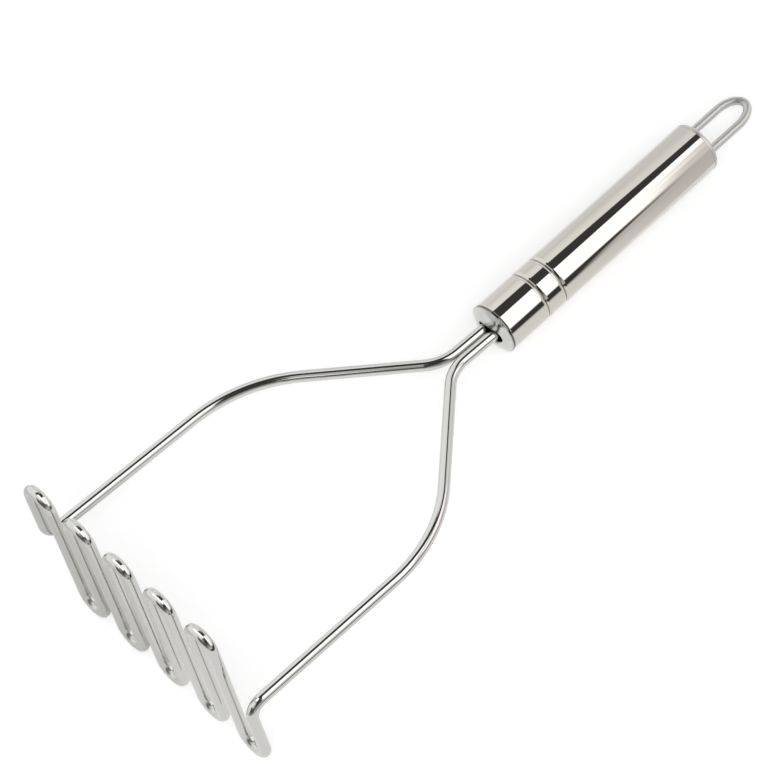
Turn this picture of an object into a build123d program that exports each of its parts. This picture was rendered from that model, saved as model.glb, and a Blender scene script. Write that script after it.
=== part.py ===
from build123d import *
import math
import os

# Wire potato masher with a tube handle, lying on its side.
# Each piece is first made upright: z runs up the handle from the middle of the foot wire,
# x runs across the foot, and y points to the side that the masher comes to lie on.
# The last step lays all the pieces down together. All lengths are in millimetres.

# Foot: one round wire bent to and fro
wire_diameter = 4.0
leg_pitch = 10.0
turn_pairs = 5
foot_depth = 57.2
heel_bend_radius = 5.2

# Arms: the same wire, from the two ends of the foot up to the handle
shoulder_height = 81.0
shoulder_half_width = 48.6
shoulder_bend_radius = 50.7
neck_height = 128.6
neck_bend_radius = 14.6
tail_gap = 0.2
tail_bend_radius = 60.0

# Handle tube with two rolled grooves; the handle sits a little askew on the arms
handle_diameter = 18.6
handle_lean_degrees = -2.1
lean_distance = 7.4
neck_to_handle = 20.9
tube_length = 95.3
tube_wall = 0.8
tube_lip_radius = 0.5
groove_width = 1.1
groove_depth = 0.4
groove_shoulder_radius = 1.5
front_groove_distance = 16.3
rear_groove_distance = 24.3

# Domed front cap with the slot that the two wire tails pass through
dome_height = 2.9
dome_rim_height = 0.5
front_skirt_length = 6.0
cap_wall = 0.9
slot_length = 10.4
slot_width = 5.4
slot_edge_radius = 0.6

# Plug under the grooves, which holds the tails
plug_front_distance = 12.0
plug_length = 18.0
plug_end_radius = 0.5
tail_overhang = 1.5

# Rear cap
rear_cap_height = 1.8
rear_edge_radius = 1.4
rear_skirt_length = 8.0

# Hanging loop of thinner wire, with its two feet hooked behind the rear cap
loop_wire_diameter = 2.9
loop_width = 12.5
loop_reach = 24.6
loop_end_length = 8.2
loop_foot_bend_radius = 1.6
loop_foot_width = 13.6
loop_side_shift = -0.4
loop_turn_degrees = 8.0

# Clearances between pieces, and how far a cut runs past what it cuts
press_gap = 0.1
seat_gap = 0.05
overrun = 1.0
half_turn_degrees = 180

# Sizes that follow from the ones above
wire_radius = wire_diameter / 2
handle_radius = handle_diameter / 2
tube_bore_radius = handle_radius - tube_wall
skirt_radius = tube_bore_radius - press_gap
hollow_radius = skirt_radius - cap_wall
turn_radius = leg_pitch / 2
half_depth = foot_depth / 2 - wire_radius
leg_half_length = half_depth - turn_radius
heel_half_width = turn_pairs * leg_pitch
tail_half_spacing = wire_radius + tail_gap / 2
handle_front_height = neck_height + neck_to_handle
lean_height = handle_front_height + lean_distance
tube_rear_height = handle_front_height + tube_length
plug_front_height = handle_front_height + plug_front_distance
plug_rear_height = plug_front_height + plug_length
tail_end_height = plug_rear_height + tail_overhang
front_seat_height = handle_front_height - seat_gap
dome_top_height = front_seat_height - dome_height
rear_seat_height = tube_rear_height + seat_gap
rear_face_height = rear_seat_height + rear_cap_height
loop_wire_radius = loop_wire_diameter / 2
loop_half_width = loop_width / 2 - loop_wire_radius
loop_tip_height = rear_face_height + loop_reach - loop_wire_radius
loop_end_height = loop_tip_height - loop_end_length
loop_foot_height = rear_face_height - cap_wall - loop_foot_bend_radius
groove_heights = [
    handle_front_height + front_groove_distance,
    handle_front_height + rear_groove_distance,
]
# A groove is an arc of this radius, centred outside the tube
groove_arc_radius = (groove_depth**2 + (groove_width / 2) ** 2) / (2 * groove_depth)
groove_ring_radius = handle_radius + groove_arc_radius - groove_depth
# The handle's pieces are made in line with the arms and then leaned about a point on the axis
lean_point = Pos(0, 0, lean_height)
leaned = lean_point * Rot(0, handle_lean_degrees, 0) * lean_point.inverse()
loop_place = Rot(0, 0, loop_turn_degrees) * Pos(loop_side_shift, 0, 0)


def round_wire(path, radius):
    start = Plane(origin=path @ 0, z_dir=path % 0)
    return sweep(start * Circle(radius), path=path)


def bar(radius, low, high):
    # An upright cylinder on the handle's axis between two heights
    base = (Align.CENTER, Align.CENTER, Align.MIN)
    return Pos(0, 0, low) * Cylinder(radius, high - low, align=base)


def slot_bar(length, width, low, high):
    # An upright bar with round ends, long across the foot, between two heights
    return extrude(Pos(0, 0, low) * SlotOverall(length, width), high - low)


def groove_ring(radius, height):
    return Pos(0, 0, height) * Torus(groove_ring_radius, radius)


def round_edge(solid, radius, height, rounding):
    # Rounds the edge about the handle's axis that is nearest to this radius and height
    rims = solid.edges().filter_by(GeomType.CIRCLE)
    rim = min(rims, key=lambda e: abs(e.radius - radius) + abs(e.arc_center.Z - height))
    return fillet(rim, rounding)


def arm_path(side):
    # From the last turn of the foot round the heel, shoulder and neck into the handle
    return FilletPolyline(
        (side * heel_half_width, side * leg_half_length, 0),
        (side * heel_half_width, 0, 0),
        (side * shoulder_half_width, 0, shoulder_height),
        (side * tail_half_spacing, 0, neck_height),
        (leaned * Pos(side * tail_half_spacing, 0, lean_height)).position,
        (leaned * Pos(side * tail_half_spacing, 0, tail_end_height)).position,
        radius=[heel_bend_radius, shoulder_bend_radius, neck_bend_radius, tail_bend_radius],
    )


def foot_edges():
    # Turns alternate between the two long sides of the foot, with a straight leg between
    edges = []
    turn_count = 2 * turn_pairs
    for turn in range(turn_count):
        side = -1 if turn % 2 == 0 else 1
        left = turn * leg_pitch - heel_half_width
        right = left + leg_pitch
        start = (left, side * leg_half_length)
        crown = (left + turn_radius, side * half_depth)
        end = (right, side * leg_half_length)
        edges.append(ThreePointArc(start, crown, end))
        if turn < turn_count - 1:
            edges.append(Line(end, (right, -side * leg_half_length)))
    return edges


def make_masher_wire():
    edges = [*arm_path(-1).edges(), *foot_edges(), *arm_path(1).edges()]
    return round_wire(Wire(edges), wire_radius)


def make_handle_tube():
    tube = bar(handle_radius, handle_front_height, tube_rear_height)
    tube = round_edge(tube, handle_radius, handle_front_height, tube_lip_radius)
    bore = bar(tube_bore_radius, handle_front_height - overrun, tube_rear_height + overrun)
    for height in groove_heights:
        tube -= groove_ring(groove_arc_radius, height)
        bore -= groove_ring(groove_arc_radius + tube_wall, height)
        for side in (-1, 1):
            shoulder = height + side * groove_width / 2
            tube = round_edge(tube, handle_radius, shoulder, groove_shoulder_radius)
    return tube - bore


def dome(radius, top):
    # The part of a shallow ball, with its top at this height, that is in front of the seat
    rise = dome_height - dome_rim_height
    ball_radius = (handle_radius**2 + rise**2) / (2 * rise)
    ball = Pos(0, 0, top + ball_radius) * Sphere(ball_radius)
    return ball & bar(radius, top - overrun, front_seat_height)


def is_slot_mouth(edge):
    # The bent edges where the slot comes out through the dome
    middle = edge.center()
    return abs(middle.X) < slot_length / 2 and middle.Z < front_seat_height - dome_rim_height


def make_front_cap():
    skirt_rear = front_seat_height + front_skirt_length
    cap = dome(handle_radius, dome_top_height)
    cap += bar(skirt_radius, front_seat_height, skirt_rear)
    cap -= slot_bar(slot_length, slot_width, dome_top_height - overrun, skirt_rear + overrun)
    bends = cap.edges().filter_by(GeomType.LINE, reverse=True)
    cap = fillet(bends.filter_by(is_slot_mouth), slot_edge_radius)
    hollow = dome(hollow_radius, dome_top_height + cap_wall)
    hollow += bar(hollow_radius, front_seat_height, skirt_rear + overrun)
    return cap - hollow


def make_wire_plug():
    plug = bar(skirt_radius, plug_front_height, plug_rear_height)
    for height in (plug_front_height, plug_rear_height):
        plug = round_edge(plug, skirt_radius, height, plug_end_radius)
    for height in groove_heights:
        plug -= groove_ring(groove_arc_radius + tube_wall + press_gap, height)
    slot_low = plug_front_height - overrun
    slot_high = plug_rear_height + overrun
    bore = wire_diameter + 2 * press_gap
    return plug - slot_bar(2 * tail_half_spacing + bore, bore, slot_low, slot_high)


def make_rear_cap():
    skirt_front = rear_seat_height - rear_skirt_length
    cap = bar(handle_radius, rear_seat_height, rear_face_height)
    cap = round_edge(cap, handle_radius, rear_face_height, rear_edge_radius)
    cap += bar(skirt_radius, skirt_front, rear_seat_height)
    cap -= bar(hollow_radius, skirt_front - overrun, rear_face_height - cap_wall)
    hole = bar(loop_wire_radius + press_gap, rear_seat_height, rear_face_height + overrun)
    for side in (-1, 1):
        cap -= loop_place * Pos(side * loop_half_width, 0, 0) * hole
    return cap


def loop_leg(side):
    # From the end of the foot, which points outwards, up through the rear cap
    return FilletPolyline(
        (side * loop_foot_width / 2, 0, loop_foot_height),
        (side * loop_half_width, 0, loop_foot_height),
        (side * loop_half_width, 0, loop_end_height),
        radius=[loop_foot_bend_radius],
    )


def make_hanging_loop():
    end_plane = Plane(origin=(0, 0, loop_end_height), x_dir=(1, 0, 0), z_dir=(0, -1, 0))
    end = EllipticalCenterArc((0, 0), loop_half_width, loop_end_length, arc_size=half_turn_degrees)
    edges = [*loop_leg(-1).edges(), *(end_plane * end).edges(), *loop_leg(1).edges()]
    return loop_place * round_wire(Wire(edges), loop_wire_radius)


# Laid down, the masher rests on its lower turns and on the edge of the rear cap
handle_lean = math.radians(handle_lean_degrees)
rest_edge_height = rear_face_height - rear_edge_radius - lean_height
rest_length = lean_height + rest_edge_height * math.cos(handle_lean)
rest_drop = half_depth - handle_radius + rear_edge_radius
rest_reach = math.hypot(rest_length, rest_drop)
lean = math.atan2(rest_drop, rest_length)
lean += math.asin((wire_radius - rear_edge_radius) / rest_reach)
on_side = Plane(
    origin=(0, 0, 0),
    x_dir=(0, -1, 0),
    z_dir=(math.cos(lean), 0, -math.sin(lean)),
).location

pieces = {
    "masher_wire": make_masher_wire(),
    "handle_tube": leaned * make_handle_tube(),
    "front_cap": leaned * make_front_cap(),
    "wire_plug": leaned * make_wire_plug(),
    "rear_cap": leaned * make_rear_cap(),
    "hanging_loop": leaned * make_hanging_loop(),
}
# The middle of the masher's bounding box goes over the origin, and its lowest point on the ground
box = Compound([on_side * piece for piece in pieces.values()]).bounding_box()
laid_down = Pos(-box.center().X, -box.center().Y, -box.min.Z) * on_side

os.makedirs("parts", exist_ok=True)
for name, piece in pieces.items():
    export_step(laid_down * piece, f"parts/{name}.step")
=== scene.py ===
import bpy
import math
from mathutils import Euler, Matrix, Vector

# Wire potato masher on its side, all of steel.
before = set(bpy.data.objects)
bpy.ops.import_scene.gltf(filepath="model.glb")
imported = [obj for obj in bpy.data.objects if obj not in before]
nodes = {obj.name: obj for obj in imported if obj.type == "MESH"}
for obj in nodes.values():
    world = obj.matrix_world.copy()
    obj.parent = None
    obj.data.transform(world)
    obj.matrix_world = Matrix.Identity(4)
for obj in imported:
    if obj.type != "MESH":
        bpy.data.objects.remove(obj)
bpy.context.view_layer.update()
scene = bpy.context.scene
print("frame in:", sorted(nodes))

# camera, at the photograph's angle
cameraLook = {
    "place": (-0.30725, -0.63339, 0.92739),
    "turn": (35.3439, 14.0363, -42.7884),  # degrees, XYZ
    "lens": 165.256,  # mm
    "sensor": 36.0,  # mm
    "nearest": 0.05,
    "farthest": 20.0,
}
bpy.ops.object.camera_add(location=cameraLook["place"])
camera = bpy.context.object
camera.rotation_euler = Euler([math.radians(angle) for angle in cameraLook["turn"]], "XYZ")
camera.data.sensor_width = cameraLook["sensor"]
camera.data.lens = cameraLook["lens"]
camera.data.clip_start = cameraLook["nearest"]
camera.data.clip_end = cameraLook["farthest"]
scene.camera = camera
scene.view_settings.view_transform = "Standard"
print("camera set")


class Sock:
    # holds one output socket, so that node maths reads as plain Python
    def __init__(self, socket):
        self.socket = socket
        self.tree = socket.id_data

    def node(self, kind, settings=None, inputs=None, out=0):
        made = self.tree.nodes.new(kind)
        for name, value in (settings or {}).items():
            setattr(made, name, value)
        for name, value in (inputs or {}).items():
            if isinstance(value, Sock):
                self.tree.links.new(value.socket, made.inputs[name])
            else:
                made.inputs[name].default_value = value
        return Sock(made.outputs[out])

    def math(self, operation, other=0.0):
        return self.node("ShaderNodeMath", {"operation": operation}, {0: self, 1: other})

    def vector(self, operation, other, out=0):
        # output 1 holds the answer where that is one number
        settings = {"operation": operation}
        return self.node("ShaderNodeVectorMath", settings, {0: self, 1: other}, out)

    def split(self):
        parts = self.node("ShaderNodeSeparateXYZ", {}, {"Vector": self}).socket.node.outputs
        return [Sock(parts[axis]) for axis in "XYZ"]

    def ramp(self, low, high, start=0.0, end=1.0):
        # smooth step from start at low to end at high
        settings = {"interpolation_type": "SMOOTHSTEP"}
        places = {"Value": self, "From Min": low, "From Max": high, "To Min": start, "To Max": end}
        return self.node("ShaderNodeMapRange", settings, places)

    def past(self, edge, blur):
        # 0 before the edge and 1 past it
        return (self - edge).ramp(-blur, blur)

    def __add__(self, other):
        return self.math("ADD", other)

    def __sub__(self, other):
        return self.math("SUBTRACT", other)

    def __rsub__(self, other):
        return self * -1.0 + other

    def __mul__(self, other):
        return self.math("MULTIPLY", other)

    def __neg__(self):
        return self * -1.0

    __radd__ = __add__
    __rmul__ = __mul__


def newMaterial(name):
    mat = bpy.data.materials.new(name)
    mat.use_nodes = True
    shader = mat.node_tree.nodes["Principled BSDF"]
    place = Sock(mat.node_tree.nodes.new("ShaderNodeTexCoord").outputs["Object"])
    return mat, shader, place


def feed(value, target):
    value.tree.links.new(value.socket, target)


def mixed(low, high, share):
    # a number between two others
    return share * (high - low) + low


def mixedColour(place, low, high, share):
    inputs = {"Factor": share, "A": low, "B": high}
    return place.node("ShaderNodeMix", {"data_type": "RGBA"}, inputs, 2)


# painted shade: dark lines in the seam and grooves round the handle, and round the slot where the
# wires go in
creaseLook = {
    "front": (0.015921, -0.000271, 0.016785),  # middle of the tube's front
    "along": (0.996246, 0.036644, -0.078426),  # the handle's own line
    "lines": [  # distance behind the front, half width, how dark
        (-0.0002, 0.00060, 0.80),
        (0.0163, 0.00040, 0.60),
        (0.0243, 0.00040, 0.60),
    ],
    "core": 0.3,  # share of the half width that is darkest
    "slot": (0.013032, -0.000377, 0.017012),
    "slotFade": (0.0032, 0.0054),
    "slotShade": 0.42,
    # colour of the painted shade
    "paintedShadeTone": (0.03, 0.03, 0.03, 1),
}


def creaseShade(place):
    # 1 on plain steel, less where shade is painted in the seams and grooves and round the slot
    along = place.vector("SUBTRACT", creaseLook["front"])
    along = along.vector("DOT_PRODUCT", creaseLook["along"], 1)
    fromSlot = place.vector("DISTANCE", creaseLook["slot"], 1)
    shade = fromSlot.ramp(*creaseLook["slotFade"], creaseLook["slotShade"], 1.0)
    for middle, width, depth in creaseLook["lines"]:
        away = (along - middle).math("ABSOLUTE")
        shade = away.ramp(width * creaseLook["core"], width, 1.0 - depth, 1.0) * shade
    return shade


def steel(name, look, creased=False):
    # polished steel, with faint clouds in its shine and colour, and painted shade in its seams and
    # grooves when creased
    mat, shader, place = newMaterial(name)
    clouds = {"Vector": place, "Scale": look["cloudScale"], "Detail": 3.0}
    cloud = place.node("ShaderNodeTexNoise", {}, clouds)
    tone = mixedColour(place, look["tone"], look["toneTwo"], cloud)
    # painted shade in the seams, grooves and round the slot, when creased
    if creased:
        tone = mixedColour(place, creaseLook["paintedShadeTone"], tone, creaseShade(place))
    rough = cloud * look["roughSpread"] + look["rough"]
    if "worn" in look:
        rough = place.split()[2].ramp(*look["wornHeights"], look["worn"], 0.0) + rough
    shader.inputs["Metallic"].default_value = 1.0
    feed(tone, shader.inputs["Base Color"])
    feed(rough, shader.inputs["Roughness"])
    return mat


def dress(nodeName, mat):
    piece = nodes[nodeName]
    piece.data.materials.clear()
    piece.data.materials.append(mat)


wireLook = {
    "tone": (0.60, 0.595, 0.575, 1),
    "toneTwo": (0.64, 0.635, 0.615, 1),
    "rough": 0.06,
    "roughSpread": 0.05,
    "cloudScale": 60.0,
    "worn": 0.20,  # duller on the side that it lies on
    "wornHeights": (0.005, 0.013),
}
dress("masher_wire", steel("drawnSteel", wireLook))

tubeLook = {
    "tone": (0.62, 0.60, 0.55, 1),
    "toneTwo": (0.64, 0.62, 0.57, 1),
    "rough": 0.03,
    "roughSpread": 0.03,
    "cloudScale": 40.0,
}
dress("handle_tube", steel("polishedSteel", tubeLook, creased=True))

frontCapLook = {
    "tone": (0.60, 0.60, 0.575, 1),
    "toneTwo": (0.63, 0.63, 0.60, 1),
    "rough": 0.10,
    "roughSpread": 0.05,
    "cloudScale": 80.0,
}
dress("front_cap", steel("pressedSteel", frontCapLook, creased=True))
dress("wire_plug", steel("turnedSteel", frontCapLook))

rearCapLook = {
    "tone": (0.60, 0.58, 0.55, 1),
    "toneTwo": (0.65, 0.63, 0.60, 1),
    "rough": 0.36,
    "roughSpread": 0.08,
    "cloudScale": 80.0,
}
dress("rear_cap", steel("brushedSteel", rearCapLook))

loopLook = {
    "tone": (0.57, 0.57, 0.55, 1),
    "toneTwo": (0.63, 0.63, 0.61, 1),
    "rough": 0.40,
    "roughSpread": 0.12,
    "cloudScale": 60.0,
}
dress("hanging_loop", steel("dullSteel", loopLook))
print("materials on")


def board(name, start, end, onlyShine=False):
    # a flat board between two opposite corners
    bpy.ops.object.select_all(action="DESELECT")
    bpy.ops.mesh.primitive_plane_add(size=1.0, location=(0, 0, 0))
    made = bpy.context.object
    made.name = name
    across, up = [axis for axis in range(3) if start[axis] != end[axis]]
    for vertex, moved in zip(made.data.vertices, ((), (across,), (up,), (across, up))):
        vertex.co = [end[axis] if axis in moved else start[axis] for axis in range(3)]
    if onlyShine:
        made.visible_camera = False
        made.visible_diffuse = False
        made.visible_shadow = False
        made.visible_transmission = False
    return made


# floor: takes the shadow, and is lifted to white; reflections see painted shade round the foot and
# behind the handle's end
floorLook = {
    "size": 3.0,
    "tone": (0.90, 0.90, 0.90, 1),
    "rough": 0.9,
    "lift": 0.34,  # what the camera sees on top of the light
    "liftFar": 0.16,  # more of it far out
    "farFade": (0.12, 1.0),
    "shine": 0.30,  # what reflections see on top of the light
    "shineFoot": 0.04,  # painted shade for reflections: less round the rear of the foot
    "footX": (0.06, 0.12),
    "footY": (-0.06, 0.03),
    "shineEnd": 0.12,  # painted shade for reflections, behind the end of the handle
    "endX": (0.08, 0.18),
    "endY": (-0.03, 0.02),
}
half = floorLook["size"]
floor = board("floor", (-half, -half, 0), (half, half, 0))
floorMat, floorShader, floorPlace = newMaterial("paleFloor")
floorShader.inputs["Base Color"].default_value = floorLook["tone"]
floorShader.inputs["Roughness"].default_value = floorLook["rough"]
floorShader.inputs["Specular IOR Level"].default_value = 0.0
floorShader.inputs["Emission Color"].default_value = (1, 1, 1, 1)
rays = floorPlace.node("ShaderNodeLightPath").socket.node.outputs
floorX, floorY = floorPlace.split()[:2]
# painted shade in what reflections see, round the foot and behind the handle's end
byFoot = (-floorX).ramp(*floorLook["footX"]) * floorY.ramp(*floorLook["footY"])
byEnd = floorX.ramp(*floorLook["endX"]) * floorY.ramp(*floorLook["endY"])
shine = mixed(floorLook["shine"], floorLook["shineFoot"], byFoot)
shine = mixed(shine, floorLook["shineEnd"], byEnd)
shineRay = Sock(rays["Is Glossy Ray"]) + Sock(rays["Is Transmission Ray"])
far = (floorX * floorX + floorY * floorY).ramp(*floorLook["farFade"])
lift = far * floorLook["liftFar"] + floorLook["lift"]
floorGlow = Sock(rays["Is Camera Ray"]) * lift + shineRay * shine
feed(floorGlow, floorShader.inputs["Emission Strength"])
floor.data.materials.append(floorMat)

# world: soft for light, white where it is seen
worldLook = {"soft": 0.55, "seen": 1.0}
world = bpy.data.worlds.new("studio")
scene.world = world
world.use_nodes = True
background = world.node_tree.nodes["Background"]
background.inputs["Color"].default_value = (1, 1, 1, 1)
worldRays = world.node_tree.nodes.new("ShaderNodeLightPath").outputs
seenRay = Sock(worldRays["Is Camera Ray"]) + Sock(worldRays["Is Glossy Ray"])
seenRay = seenRay + Sock(worldRays["Is Transmission Ray"])
feed(mixed(worldLook["soft"], worldLook["seen"], seenRay), background.inputs["Strength"])
print("floor and world set")

# the room: boards that only the steel reflects, as light and dark as the photograph's room
roomLook = {
    "side": 3.0,  # half width
    "reach": 1.6,  # half depth
    "height": 1.0,
    "dark": 0.055,
    "white": 1.75,
    "dimmed": 0.90,  # the white past the end of the handle
    "grey": 1.12,  # behind the masher
    "greyRight": 0.85,
    "plainTint": (1.0, 1.0, 1.0, 1),
    "rosyTint": (1.0, 0.945, 0.955, 1),
}
side, reach, height = roomLook["side"], roomLook["reach"], roomLook["height"]
dark, white, dimmed = roomLook["dark"], roomLook["white"], roomLook["dimmed"]


def glow(name, shade):
    # a plain glowing material; shade gives its strength by place, and how rosy it is
    mat, shader, place = newMaterial(name)
    mat.node_tree.nodes.remove(shader)
    strength, rosy = shade(place)
    tint = mixedColour(place, roomLook["plainTint"], roomLook["rosyTint"], rosy)
    light = place.node("ShaderNodeEmission", {}, {"Color": tint, "Strength": strength})
    feed(light, mat.node_tree.nodes["Material Output"].inputs["Surface"])
    return mat


def shineBoard(name, shade, start, end):
    made = board(name + "Board", start, end, onlyShine=True)
    made.data.materials.append(glow(name + "Glow", shade))


# roof; pairs are where a change begins and ends
roofLook = {
    "cornerTone": 0.65,  # left corner, darker further out
    "cornerFall": 0.13,
    "cornerLeast": 0.07,
    "cornerSide": -0.30,  # its slanting side, past which it is dark
    "cornerBend": -0.08,
    "cornerSlope": 0.86,
    "cornerBlur": 0.04,
    "cornerEnd": (0.03, 0.11),
    "frontLift": 0.1,  # a little paler far in front
    "frontFade": (1.1, 1.7),
    "dimSide": 0.78,  # where the white is dimmed
    "dimBend": 0.87,
    "dimSlope": 0.42,
    "dimBlur": 0.12,
    "whiteAgain": (1.25, 1.45),
    "bandFront": -0.31,  # dark band along the handle
    "bandFrontBlur": 0.015,
    "bandRear": 0.40,
    "bandRearBlur": 0.02,
    "bandThin": 0.12,
    "bandThinning": (0.50, 0.70),
    "bandRise": 0.4,
    "bandRising": (0.74, 0.86),
    "bandEnd": (1.15, 1.45),
    "greyFade": (0.50, 0.90),
    "wedgeTone": 0.68,  # left of the band
    "wedgePale": 1.15,
    "wedgePaling": (0.5, 0.7),
    "wedgeDark": 0.10,
    "wedgeDarkening": (1.15, 1.45),
    "wedgeEnd": (-0.34, -0.26),
}


def roofShade(place):
    look = roofLook
    x, y = place.split()[:2]
    # near side: dark corner on the left, then white
    corner = (x * x + y * y) * -look["cornerFall"] + look["cornerTone"]
    slant = (y - look["cornerBend"]).math("MINIMUM") * look["cornerSlope"]
    pastSlant = (x - slant).past(look["cornerSide"], look["cornerBlur"])
    corner = mixed(corner.math("MAXIMUM", look["cornerLeast"]), dark, pastSlant)
    corner = corner + (-y).ramp(*look["frontFade"]) * look["frontLift"]
    slant = (-y - look["dimBend"]).math("MAXIMUM") * look["dimSlope"]
    dim = (x - look["dimSide"] - slant).ramp(0.0, look["dimBlur"])
    pale = mixed(mixed(white, dimmed, dim), white, x.ramp(*look["whiteAgain"]))
    nearSide = mixed(corner, pale, x.ramp(*look["cornerEnd"]))
    # far side: wedge, dark band and grey
    grey = mixed(roomLook["grey"], roomLook["greyRight"], x.ramp(*look["greyFade"]))
    band = mixed(dark, grey, x.ramp(*look["bandEnd"]))
    wedge = mixed(look["wedgeTone"], look["wedgePale"], (-x).ramp(*look["wedgePaling"]))
    wedge = mixed(wedge, look["wedgeDark"], (-x).ramp(*look["wedgeDarkening"]))
    band = mixed(wedge, band, x.ramp(*look["wedgeEnd"]))
    bandRear = x.ramp(*look["bandThinning"], look["bandRear"], look["bandThin"])
    bandRear = bandRear + x.ramp(*look["bandRising"]) * look["bandRise"]
    farSide = mixed(band, grey, y.past(bandRear, look["bandRearBlur"]))
    isNear = (-y).past(-look["bandFront"], look["bandFrontBlur"])
    return mixed(farSide, nearSide, isNear), dim * isNear


shineBoard("roof", roofShade, (-side, -reach, height), (side, reach, height))

# front: dark on the left, grey by the middle, then white with a dark foot
frontLook = {
    "leftLow": 0.72,
    "leftHigh": 0.10,
    "leftEnd": (0.0, 0.12),
    "middleLeft": 0.55,
    "middleFade": (0.10, 0.30),
    "middleTone": 0.48,  # and paler upwards
    "middleRise": 0.8,
    "middleEnd": (0.50, 0.64),
    "footTop": 0.27,
    "footBlur": 0.09,
    "footPale": 0.72,
    "footEnd": (0.84, 0.94),
    "dimSide": 0.80,
    "dimSlope": 0.285,
    "dimBlur": 0.07,
    "endTone": 1.05,  # and paler upwards
    "endRise": 0.6,
    "endFade": (1.20, 1.35),
}


def frontShade(place):
    look = frontLook
    x, y, z = place.split()
    dim = (x - z * look["dimSlope"] - look["dimSide"]).ramp(0.0, look["dimBlur"])
    foot = mixed(dark, look["footPale"], x.ramp(*look["footEnd"]))
    wall = mixed(foot, mixed(white, dimmed, dim), z.past(look["footTop"], look["footBlur"]))
    end = z * look["endRise"] + look["endTone"]
    wall = mixed(wall, end, x.ramp(*look["endFade"]))
    middle = z * look["middleRise"] + look["middleTone"]
    middle = mixed(look["middleLeft"], middle, x.ramp(*look["middleFade"]))
    wall = mixed(middle, wall, x.ramp(*look["middleEnd"]))
    left = mixed(look["leftLow"], look["leftHigh"], z)
    return mixed(left, wall, x.ramp(*look["leftEnd"])), dim


shineBoard("front", frontShade, (-side, -reach, 0), (side, -reach, height))

# rear: grey
rearLook = {"greyFade": (0.3, 0.9), "endTone": 1.10, "endFade": (1.0, 1.2)}


def rearShade(place):
    x = place.split()[0]
    grey = mixed(roomLook["grey"], roomLook["greyRight"], x.ramp(*rearLook["greyFade"]))
    return mixed(grey, rearLook["endTone"], x.ramp(*rearLook["endFade"])), 0.0


shineBoard("rear", rearShade, (-side, reach, 0), (side, reach, height))

# left: dark, but for the part behind the masher
leftLook = {
    "place": -1.6,
    "low": 0.34,
    "high": 0.10,
    "fade": (0.0, 0.6),
    "behind": 1.0,
    "behindEdge": 0.30,
    "behindBlur": 0.05,
}


def leftShade(place):
    x, y, z = place.split()
    gloom = mixed(leftLook["low"], leftLook["high"], z.ramp(*leftLook["fade"]))
    isBehind = y.past(leftLook["behindEdge"], leftLook["behindBlur"])
    return mixed(gloom, leftLook["behind"], isBehind), 0.0


leftEnd = leftLook["place"]
shineBoard("left", leftShade, (leftEnd, -reach, 0), (leftEnd, reach, height))

# low: a board on the floor that only reflections see: dark in front of the handle, paler past a
# slanting line, open floor by the steel, darker towards the handle's rear end as painted shade
lowLook = {
    "height": 0.0004,
    "rear": -0.01,
    "pale": 0.72,
    "paleSide": 0.09,
    "paleBend": -0.08,
    "paleSlope": 0.55,
    "paleBlur": 0.015,
    "open": 0.95,
    # painted shade: the open floor darker towards the handle's rear end
    "openEnd": 0.74,
    "openFade": (0.04, 0.12),
    "openFront": -0.09,
    "openBend": 0.03,
    "openSlope": 0.76,
    "openBlur": 0.03,
    "rosyFade": (0.05, 0.15),
}


def lowShade(place):
    look = lowLook
    x, y = place.split()[:2]
    slant = (y - look["paleBend"]) * look["paleSlope"]
    table = mixed(dark, look["pale"], (x + slant).past(look["paleSide"], look["paleBlur"]))
    clear = mixed(look["open"], look["openEnd"], x.ramp(*look["openFade"]))
    slant = (x - look["openBend"]) * look["openSlope"]
    isOpen = (y - slant).past(look["openFront"], look["openBlur"])
    return mixed(table, clear, isOpen), x.ramp(*look["rosyFade"])


lowZ = lowLook["height"]
shineBoard("low", lowShade, (-side, -reach, lowZ), (side, lowLook["rear"], lowZ))

# spot: a small white board above the foot
spotLook = {"start": (-0.155, -0.065, 0.12), "end": (-0.126, 0.050, 0.12)}


def spotShade(place):
    return white, 0.0


shineBoard("spot", spotShade, spotLook["start"], spotLook["end"])
print("boards set")

# lamp
lampLook = {"place": (-0.5, -1.1, 1.3), "size": (1.4, 1.0), "power": 14.0}
bpy.ops.object.light_add(type="AREA", location=lampLook["place"])
lamp = bpy.context.object
lamp.name = "softbox"
lamp.data.shape = "RECTANGLE"
lamp.data.size, lamp.data.size_y = lampLook["size"]
lamp.data.energy = lampLook["power"]
lamp.rotation_euler = (-Vector(lampLook["place"])).to_track_quat("-Z", "Y").to_euler()
lamp.visible_glossy = False
print("lamp set")
